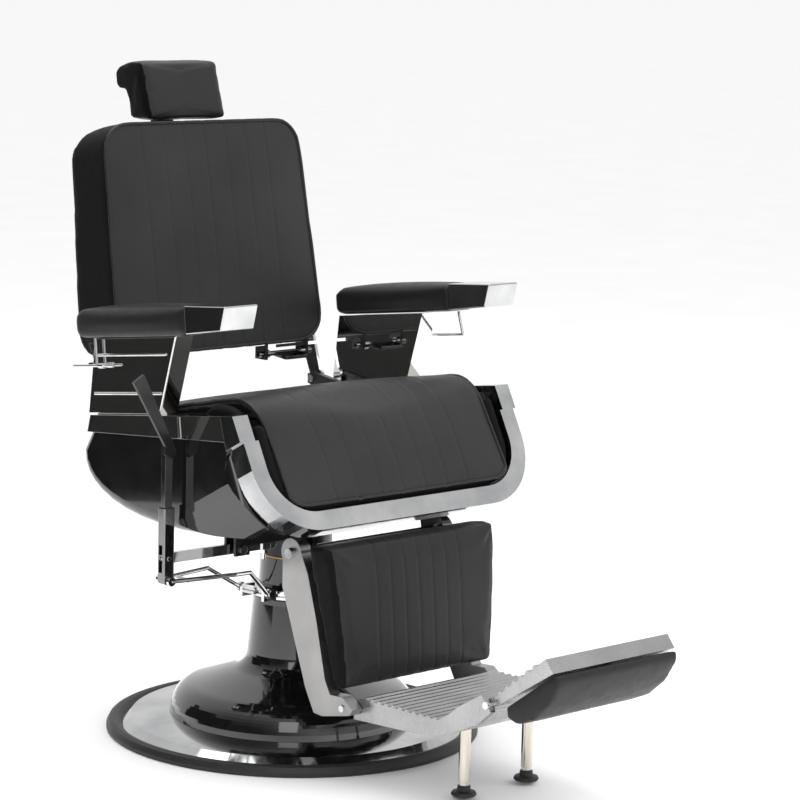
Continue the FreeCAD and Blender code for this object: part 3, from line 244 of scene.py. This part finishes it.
LOOKS = {
    polished: ("base_plate", "front_frame", "rail_end_sleeves", "arm_front_cap_right", "arm_front_cap_left"),
    mirror_steel: ("side_rail_right", "side_rail_left", "arm_panel_right", "arm_panel_left"),
    chrome: ("yoke_collar", "yoke_rods", "yoke_pins", "pump_bar", "adjusting_bolt", "lever_pivot_pin", "fulcrum_pin",
             "back_hinge_arms", "towel_wire_right", "towel_wire_left", "flip_hinge_pins", "leg_rest_screws",
             "headrest_stem"),
    dark_chrome: ("lever_sleeve", "lever_bar", "recline_handle"),
    cast: ("footplate", "flip_panel"),
    linished: ("leg_bracket_right", "leg_bracket_left"),
    nickel: ("stand_legs", "stand_lock_nuts"),
    turned: ("ram", "pump_cylinder", "cylinder_bolts", "back_hinge_pins", "leg_rest_shaft", "headrest_guide"),
    bronze: ("thrust_washer",),
    gloss_black: ("bell_and_neck", "side_apron_right", "side_apron_left"),
    black_enamel: ("pump_head", "fulcrum_bracket", "seat_subframe", "back_hinge_lugs", "leg_slide_hangers",
                   "leg_slide_bars", "lever_paddle", "recline_brackets"),
    rubber: ("base_edge_ring", "stand_feet"),
    board: ("back_panel",),
    stained_ply: ("seat_board",),
}
for material, names in LOOKS.items():
    for name in names:
        data = NODES[name].data
        data.materials.clear()
        data.materials.append(material)


# --- soft goods -------------------------------------------------------------------------------------
def evaluated_mesh(obj):
    depsgraph = bpy.context.evaluated_depsgraph_get()
    return bpy.data.meshes.new_from_object(obj.evaluated_get(depsgraph))


def apply_all(obj):
    mesh = evaluated_mesh(obj)
    obj.modifiers.clear()
    obj.data = mesh


def remeshed(node, name, voxel, shrink, rounds, tilt):
    """Even-celled copy of a CAD solid, rounded a little and pulled in so that padding can swell.

    The cells are laid square to the part, which leans back by tilt.
    """
    obj = bpy.data.objects.new(name, NODES[node].data.copy())
    scene.collection.objects.link(obj)
    square = Matrix.Rotation(tilt, 4, "X")
    obj.data.transform(square)
    remesh = obj.modifiers.new("cells", "REMESH")
    remesh.mode = "VOXEL"
    remesh.voxel_size = voxel
    apply_all(obj)
    bm = bmesh.new()
    bm.from_mesh(obj.data)
    for _ in range(rounds):
        bmesh.ops.smooth_vert(bm, verts=bm.verts, factor=0.5, use_axis_x=True, use_axis_y=True, use_axis_z=True)
    bm.normal_update()
    moves = [v.normal * -shrink for v in bm.verts]
    for v, move in zip(bm.verts, moves):
        v.co += move
    bm.to_mesh(obj.data)
    bm.free()
    obj.data.transform(square.inverted())
    return obj


def puff(obj, hold, cap):
    """Inflate with Cloth. hold(co) is 1 where the cover is fixed; no point moves further than cap."""
    start = [v.co.copy() for v in obj.data.vertices]
    group = obj.vertex_groups.new(name="hold")
    for i, co in enumerate(start):
        group.add([i], hold(co), "REPLACE")
    cloth = obj.modifiers.new("Cloth", "CLOTH")
    s = cloth.settings
    s.quality = 4
    s.mass = 0.3
    s.tension_stiffness = 12
    s.compression_stiffness = 12
    s.shear_stiffness = 6
    s.bending_stiffness = 1.5
    s.use_pressure = True
    s.uniform_pressure_force = PRESSURE
    s.vertex_group_mass = "hold"
    s.effector_weights.gravity = 0
    cloth.collision_settings.use_collision = False
    cloth.point_cache.frame_start = 1
    cloth.point_cache.frame_end = CLOTH_FRAMES
    for step in range(1, CLOTH_FRAMES + 1):
        scene.frame_set(step)
    mesh = evaluated_mesh(obj)
    for v, co in zip(mesh.vertices, start):
        move = v.co - co
        if move.length > cap:
            v.co = co + move.normalized() * cap
    obj.modifiers.clear()
    obj.data = mesh
    scene.frame_set(1)


def finish_soft(obj, node, body, material, pitch=0.0, facing=None, depth=0.0012, lines=3):
    """One subdivision, shallow sewn channels, then material and body."""
    sub = obj.modifiers.new("sub", "SUBSURF")
    sub.levels = 1
    sub.render_levels = 1
    apply_all(obj)
    if pitch:
        normals = [v.normal.copy() for v in obj.data.vertices]
        for v, normal in zip(obj.data.vertices, normals):
            k = round(v.co.x / pitch)
            if abs(k) <= lines and normal.dot(facing) > 0.1:
                gap = (v.co.x - k * pitch) / STITCH_HALF_WIDTH
                v.co = v.co - normal * depth * math.exp(-gap * gap)
    obj.data.materials.clear()
    obj.data.materials.append(material)
    for p in obj.data.polygons:
        p.use_smooth = True
    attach(obj, body)
    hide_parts(node)
    return obj


def paint(obj, material, test):
    """Give the faces that pass the test a second material."""
    obj.data.materials.append(material)
    index = len(obj.data.materials) - 1
    for p in obj.data.polygons:
        if test(p):
            p.material_index = index


def tube(name, points, radius, body, material, cyclic=False, onto=None, lift=0.0):
    """Round cord through points, laid onto a surface if one is given."""
    curve = bpy.data.curves.new(name, "CURVE")
    curve.dimensions = "3D"
    curve.bevel_depth = radius
    curve.bevel_resolution = 3
    surface = None
    if onto is not None:
        corners = [v.co for v in onto.data.vertices]
        surface = BVHTree.FromPolygons(corners, [p.vertices for p in onto.data.polygons])
    spline = curve.splines.new("POLY")
    spline.points.add(len(points) - 1)
    for point, p in zip(spline.points, points):
        where = Vector(p)
        if surface is not None:
            spot, normal, _, _ = surface.find_nearest(where)
            where = spot + normal * lift
        point.co = (*where, 1)
    spline.use_cyclic_u = cyclic
    obj = bpy.data.objects.new(name, curve)
    scene.collection.objects.link(obj)
    curve.materials.append(material)
    obj.data.splines[0].use_smooth = True
    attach(obj, body)
    return obj


def lean_point(x, r, u):
    """Point on the backrest: across, behind its front face, above its bottom edge."""
    c, s = math.cos(BACK_LEAN), math.sin(BACK_LEAN)
    return Vector((x, BACK_BASE.y + r * c + u * s, BACK_BASE.z - r * s + u * c))


def lean_local(co):
    """Inverse of lean_point."""
    c, s = math.cos(BACK_LEAN), math.sin(BACK_LEAN)
    dy, dz = co.y - BACK_BASE.y, co.z - BACK_BASE.z
    return co.x, dy * c - dz * s, dy * s + dz * c


def seat_point(x, y, z):
    """Point given in the level seat frame."""
    c, s = math.cos(-SEAT_TILT), math.sin(-SEAT_TILT)
    dz = z - SEAT_PIVOT_Z
    return Vector((x, y * c - dz * s, SEAT_PIVOT_Z + y * s + dz * c))


def rounded_loop(corners, radius, steps=8):
    """Closed 2-D loop through corners with rounded turns."""
    out = []
    count = len(corners)
    for i in range(count):
        p, a, b = Vector(corners[i]), Vector(corners[i - 1]), Vector(corners[(i + 1) % count])
        start, end = p + (a - p).normalized() * radius, p + (b - p).normalized() * radius
        for k in range(steps + 1):
            t = k / steps
            out.append((1 - t) ** 2 * start + 2 * t * (1 - t) * p + t * t * end)
    return out


def dense(points, step):
    out = []
    for a, b in zip(points, points[1:]):
        count = max(1, int((b - a).length / step))
        out += [a + (b - a) * (k / count) for k in range(count)]
    return out + [points[-1]]


# Backrest
BACK_FRONT = Vector((0, -math.cos(BACK_LEAN), math.sin(BACK_LEAN)))
back = remeshed("back_cushion", "back_cushion_cover", 0.006, 0.003, 3, BACK_LEAN)
BACK_RIM = [(-0.247, 0.003), (0.247, 0.003), (0.230, 0.425), (-0.230, 0.425)]


def back_hold(co):
    x, r, u = lean_local(co)
    rear = min(1.0, max(0.0, (r - 0.02) / 0.03))
    half = BACK_HALF_LOW - BACK_TAPER * u / BACK_HEIGHT
    edge = min(half - abs(x), u, BACK_HEIGHT - u)
    rim = 1.0 if r < 0.012 and edge < 0.010 else 0.0
    return max(rear * 0.9, rim)


puff(back, back_hold, 0.014)
finish_soft(back, "back_cushion", "backrest", back_leather, BACK_PITCH, BACK_FRONT, 0.0007)
# The faces behind the front face get the darker leather copy: painted shade on the sides of the backrest
paint(back, painted_shade_leather, lambda p: lean_local(p.center)[1] > 0.007)
rim = rounded_loop(BACK_RIM, 0.062)
loop = dense([lean_point(p.x, 0.002, p.y) for p in rim] + [lean_point(rim[0].x, 0.002, rim[0].y)], 0.008)
tube("back_piping", loop[:-1], PIPING_R, "backrest", piping_leather, True, back,
     PIPING_LIFT)
rear_rim = rounded_loop([(-0.245, 0.012), (0.245, 0.012), (0.228, 0.405), (-0.228, 0.405)], 0.045)
rear = [lean_point(p.x, 0.119 - 0.038 * p.y, p.y) for p in rear_rim]
tube("back_rear_piping", dense(rear + rear[:1], 0.01)[:-1], 0.003, "backrest", piping_leather,
     True, back, 0.001)

# Seat
seat = remeshed("seat_cushion", "seat_cushion_cover", 0.006, 0.003, 3, SEAT_TILT)


def seat_local(co):
    c, s = math.cos(SEAT_TILT), math.sin(SEAT_TILT)
    dz = co.z - SEAT_PIVOT_Z
    return co.x, co.y * c - dz * s, SEAT_PIVOT_Z + co.y * s + dz * c


SEAT_EDGE = [(0.186, 0.612), (0.11, 0.616), (0.028, 0.620), (-0.06, 0.628), (-0.10, 0.632), (-0.128, 0.633),
             (-0.150, 0.630), (-0.170, 0.622), (-0.188, 0.608), (-0.206, 0.588), (-0.226, 0.555), (-0.240, 0.522),
             (-0.252, 0.492), (-0.262, 0.466)]


def seat_hold(co):
    x, y, z = seat_local(co)
    under = 1.0 if z < 0.600 and y > -0.180 else 0.0
    side = 1.0 if abs(x) > 0.250 else 0.0
    inner = 1.0 if z < 0.560 and y > -0.222 + (0.56 - z) * -0.4 + 0.012 else 0.0
    foot = 1.0 if z < 0.462 else 0.0
    return max(under, side * 0.97, inner, foot)


puff(seat, seat_hold, 0.016)
finish_soft(seat, "seat_cushion", "seat", seat_leather, SEAT_PITCH, Vector((0, -0.6, 0.8)), 0.0007)
# The side faces of the seat get the darker leather copy: painted shade
paint(seat, painted_shade_leather, lambda p: abs(p.center.x) > 0.2585)
side = [seat_point(-0.260, y, z) for y, z in SEAT_EDGE]
bottom = [Vector((-0.255, -0.2915, 0.493)), Vector((-0.246, -0.293, 0.486)), Vector((-0.232, -0.294, 0.4815)),
          Vector((-0.20, -0.294, 0.479)), Vector((0.0, -0.294, 0.478))]
half = side + bottom
full = half + [Vector((-p.x, p.y, p.z)) for p in reversed(half[:-1])]
tube("seat_piping", dense(full, 0.008), PIPING_R, "seat", piping_leather, False, seat,
     PIPING_LIFT)

# Leathercloth boxing that fills the space between the seat and the front frame
SKIRT_EDGE = [(y + 0.012, z - 0.012) for y, z in SEAT_EDGE if -0.245 < y < -0.08]


def padded_strip(name, rows, levels):
    """Closed leathercloth strip through rows of section points."""
    bm = bmesh.new()
    rings = [[bm.verts.new(point) for point in row] for row in rows]
    for a, b in zip(rings, rings[1:]):
        for k in range(len(a)):
            n = (k + 1) % len(a)
            bm.faces.new((a[k], a[n], b[n], b[k]))
    bm.faces.new(rings[0])
    bm.faces.new(rings[-1][::-1])
    bmesh.ops.recalc_face_normals(bm, faces=bm.faces)
    mesh = bpy.data.meshes.new(name)
    bm.to_mesh(mesh)
    bm.free()
    for p in mesh.polygons:
        p.use_smooth = True
    # The strips take the darker leather copy: painted shade in the gaps round the seat
    mesh.materials.append(painted_shade_leather)
    obj = bpy.data.objects.new(name, mesh)
    scene.collection.objects.link(obj)
    sub = obj.modifiers.new("sub", "SUBSURF")
    sub.levels = levels
    sub.render_levels = levels
    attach(obj, "seat")


def seat_skirt(side):
    """Padded strip beside the cushion, set back a little from its front face."""
    ring = [(0.252, 0.0, 0.0), (0.270, 0.0, 0.001), (0.280, 0.003, -0.003), (0.284, 0.010, -0.010),
            (0.284, 0.030, -0.030), (0.252, 0.030, -0.030)]
    rows = [[seat_point(side * x, y + dy, z + dz) for x, dy, dz in ring] for y, z in SKIRT_EDGE]
    padded_strip("seat_boxing_left" if side > 0 else "seat_boxing_right", rows, 2)


seat_skirt(-1)
seat_skirt(1)


def slope_point(x, s, depth):
    """Point in the front frame's plane: across, down the slope from its top, behind its front face."""
    down, back = Vector((0.0, -0.466, -0.885)), Vector((0.0, 0.885, -0.466))
    return Vector((x, -0.227, 0.592)) + down * s + back * depth


def frame_lining():
    """Padded strip just inside the U of the front frame, closing the space round the cushion."""
    half, corner_s, radius, width = 0.284, 0.0515, 0.082, 0.026
    centre = half - radius
    path = [((half, -0.030 + 0.0136 * k), (1.0, 0.0)) for k in range(6)]
    for k in range(13):
        a = math.pi / 2 * k / 12
        path.append(((centre + radius * math.cos(a), corner_s + radius * math.sin(a)), (math.cos(a), math.sin(a))))
    path += [((centre * (1 - k / 10), corner_s + radius), (0.0, 1.0)) for k in range(1, 11)]
    path += [((-x, down), (-nx, ns)) for (x, down), (nx, ns) in reversed(path[:-1])]
    ring = [(0.0, 0.010), (-0.008, 0.004), (-width, 0.003), (-width, 0.030), (0.0, 0.030)]
    rows = [[slope_point(x + nx * out, s + ns * out, depth) for out, depth in ring] for (x, s), (nx, ns) in path]
    padded_strip("seat_boxing_front", rows, 1)


frame_lining()

# Leg pad
leg = remeshed("leg_pad", "leg_pad_cover", 0.0055, 0.002, 4, LEG_LEAN)


def leg_hold(co):
    front = -0.315 - (0.41 - co.z) * 0.106
    return min(1.0, max(0.0, (co.y - front - 0.012) / 0.02))


puff(leg, leg_hold, 0.0025)
finish_soft(leg, "leg_pad", "leg_rest", leg_leather, LEG_PITCH, Vector((0, -1, 0.1)), 0.0007)
# Faces turned sideways get the darker leather copy: painted shade on the sides of the leg pad
paint(leg, painted_shade_leather, lambda p: abs(p.normal.x) > 0.75)

# Headrest
head = remeshed("headrest_pad", "headrest_cover", 0.0045, 0.0015, 3, BACK_LEAN)
puff(head, lambda co: 0.0 if co.y < 0.378 or co.z > 1.15 else 0.9, 0.0018)
finish_soft(head, "headrest_pad", "headrest", head_leather)
# Faces turned sideways get the darker leather copy: painted shade on the sides of the headrest
paint(head, painted_shade_leather, lambda p: abs(p.normal.x) > 0.7)

# Arm pads
for side_name in ("right", "left"):
    node = "arm_pad_" + side_name
    pad = remeshed(node, node + "_cover", 0.006, 0.0015, 3, SEAT_TILT)
    puff(pad, lambda co: 0.0 if seat_local(co)[2] > 0.762 and seat_local(co)[1] > -0.108 else 0.9, 0.006)
    finish_soft(pad, node, "seat", plain_leather)

# Calf pad
calf = remeshed("calf_pad", "calf_pad_cover", 0.006, 0.0015, 3, CALF_LEAN)
puff(calf, lambda co: 0.0 if (co.y + 0.69) * 0.68 + (co.z - 0.2) < -0.012 else 0.9, 0.008)
finish_soft(calf, "calf_pad", "flip_step", calf_leather)

# --- studio -----------------------------------------------------------------------------------------
bpy.ops.mesh.primitive_plane_add(size=900, location=(0, 0, -0.0005))
floor = bpy.context.object
floor.name = "studio_floor"
paper = matte("studio_paper", (0.90, 0.90, 0.90), (0.92, 0.92, 0.92), 0.85, 3.0, 0.0)
floor.data.materials.append(paper)

flag_cloth = matte("studio_flag", (0.002, 0.002, 0.002), (0.003, 0.003, 0.003), 0.9, 12.0, 0.0)
flag_mesh = bpy.data.meshes.new("studio_flag")
flag_corners = [(-1.15, 2.6, 0.0), (-2.9, 0.55, 0.0), (-2.9, 0.55, 1.5), (-1.15, 2.6, 1.5)]
flag_mesh.from_pydata(flag_corners, [], [(0, 1, 2, 3)])
flag_mesh.materials.append(flag_cloth)
flag = bpy.data.objects.new("studio_flag", flag_mesh)
scene.collection.objects.link(flag)
flag.visible_camera = False
flag.visible_diffuse = False
flag.visible_shadow = False

world = bpy.data.worlds.new("studio")
scene.world = world
world.use_nodes = True
w = world.node_tree
background = w.nodes["Background"]
background.inputs[1].default_value = 1.0
coord = w.nodes.new("ShaderNodeTexCoord")
split = w.nodes.new("ShaderNodeSeparateXYZ")
w.links.new(coord.outputs["Generated"], split.inputs[0])
side_dark = w.nodes.new("ShaderNodeMapRange")
side_dark.inputs["From Min"].default_value = -0.95
side_dark.inputs["From Max"].default_value = -0.35
side_dark.inputs["To Min"].default_value = 0.06
side_dark.inputs["To Max"].default_value = 0.80
w.links.new(split.outputs[0], side_dark.inputs["Value"])
path = w.nodes.new("ShaderNodeLightPath")
mix = w.nodes.new("ShaderNodeMix")
mix.data_type = "FLOAT"
mix.inputs["A"].default_value = 1.05
w.links.new(path.outputs["Is Glossy Ray"], mix.inputs["Factor"])
w.links.new(side_dark.outputs[0], mix.inputs["B"])
w.links.new(mix.outputs["Result"], background.inputs[0])


def softbox(name, location, target, size, power, mirrored=True):
    data = bpy.data.lights.new(name, "AREA")
    data.shape = "RECTANGLE"
    data.size, data.size_y = size
    data.energy = power
    obj = bpy.data.objects.new(name, data)
    obj.location = location
    obj.rotation_euler = (Vector(target) - Vector(location)).to_track_quat("-Z", "Y").to_euler()
    obj.visible_glossy = mirrored
    scene.collection.objects.link(obj)


softbox("key", (1.6, -3.2, 3.0), (0, 0, 0.6), (3.6, 3.0), 85, False)
softbox("fill", (-2.6, -2.6, 2.2), (0, 0, 0.6), (1.2, 2.2), 16)
softbox("top", (0.0, 0.6, 3.6), (0, 0, 0.5), (2.6, 2.6), 60)

# --- camera -----------------------------------------------------------------------------------------
CAMERA_PLACE = (-3.434, -3.917, 1.419)
CAMERA_LENS = 131.5
azimuth, pitch, roll = math.radians(43.25), math.radians(8.83), math.radians(1.42)
forward = Vector((math.sin(azimuth) * math.cos(pitch), math.cos(azimuth) * math.cos(pitch), -math.sin(pitch)))
flat_right = Vector((math.cos(azimuth), -math.sin(azimuth), 0.0))
flat_up = flat_right.cross(forward)
right = flat_right * math.cos(roll) + flat_up * math.sin(roll)
up = flat_up * math.cos(roll) - flat_right * math.sin(roll)
camera_data = bpy.data.cameras.new("camera")
camera_data.lens = CAMERA_LENS
camera_data.sensor_width = 36
camera_data.clip_end = 1000
camera = bpy.data.objects.new("camera", camera_data)
scene.collection.objects.link(camera)
turn = Matrix((right, up, -forward)).transposed().to_4x4()
camera.matrix_world = Matrix.Translation(CAMERA_PLACE) @ turn
scene.camera = camera
scene.view_settings.view_transform = "Standard"
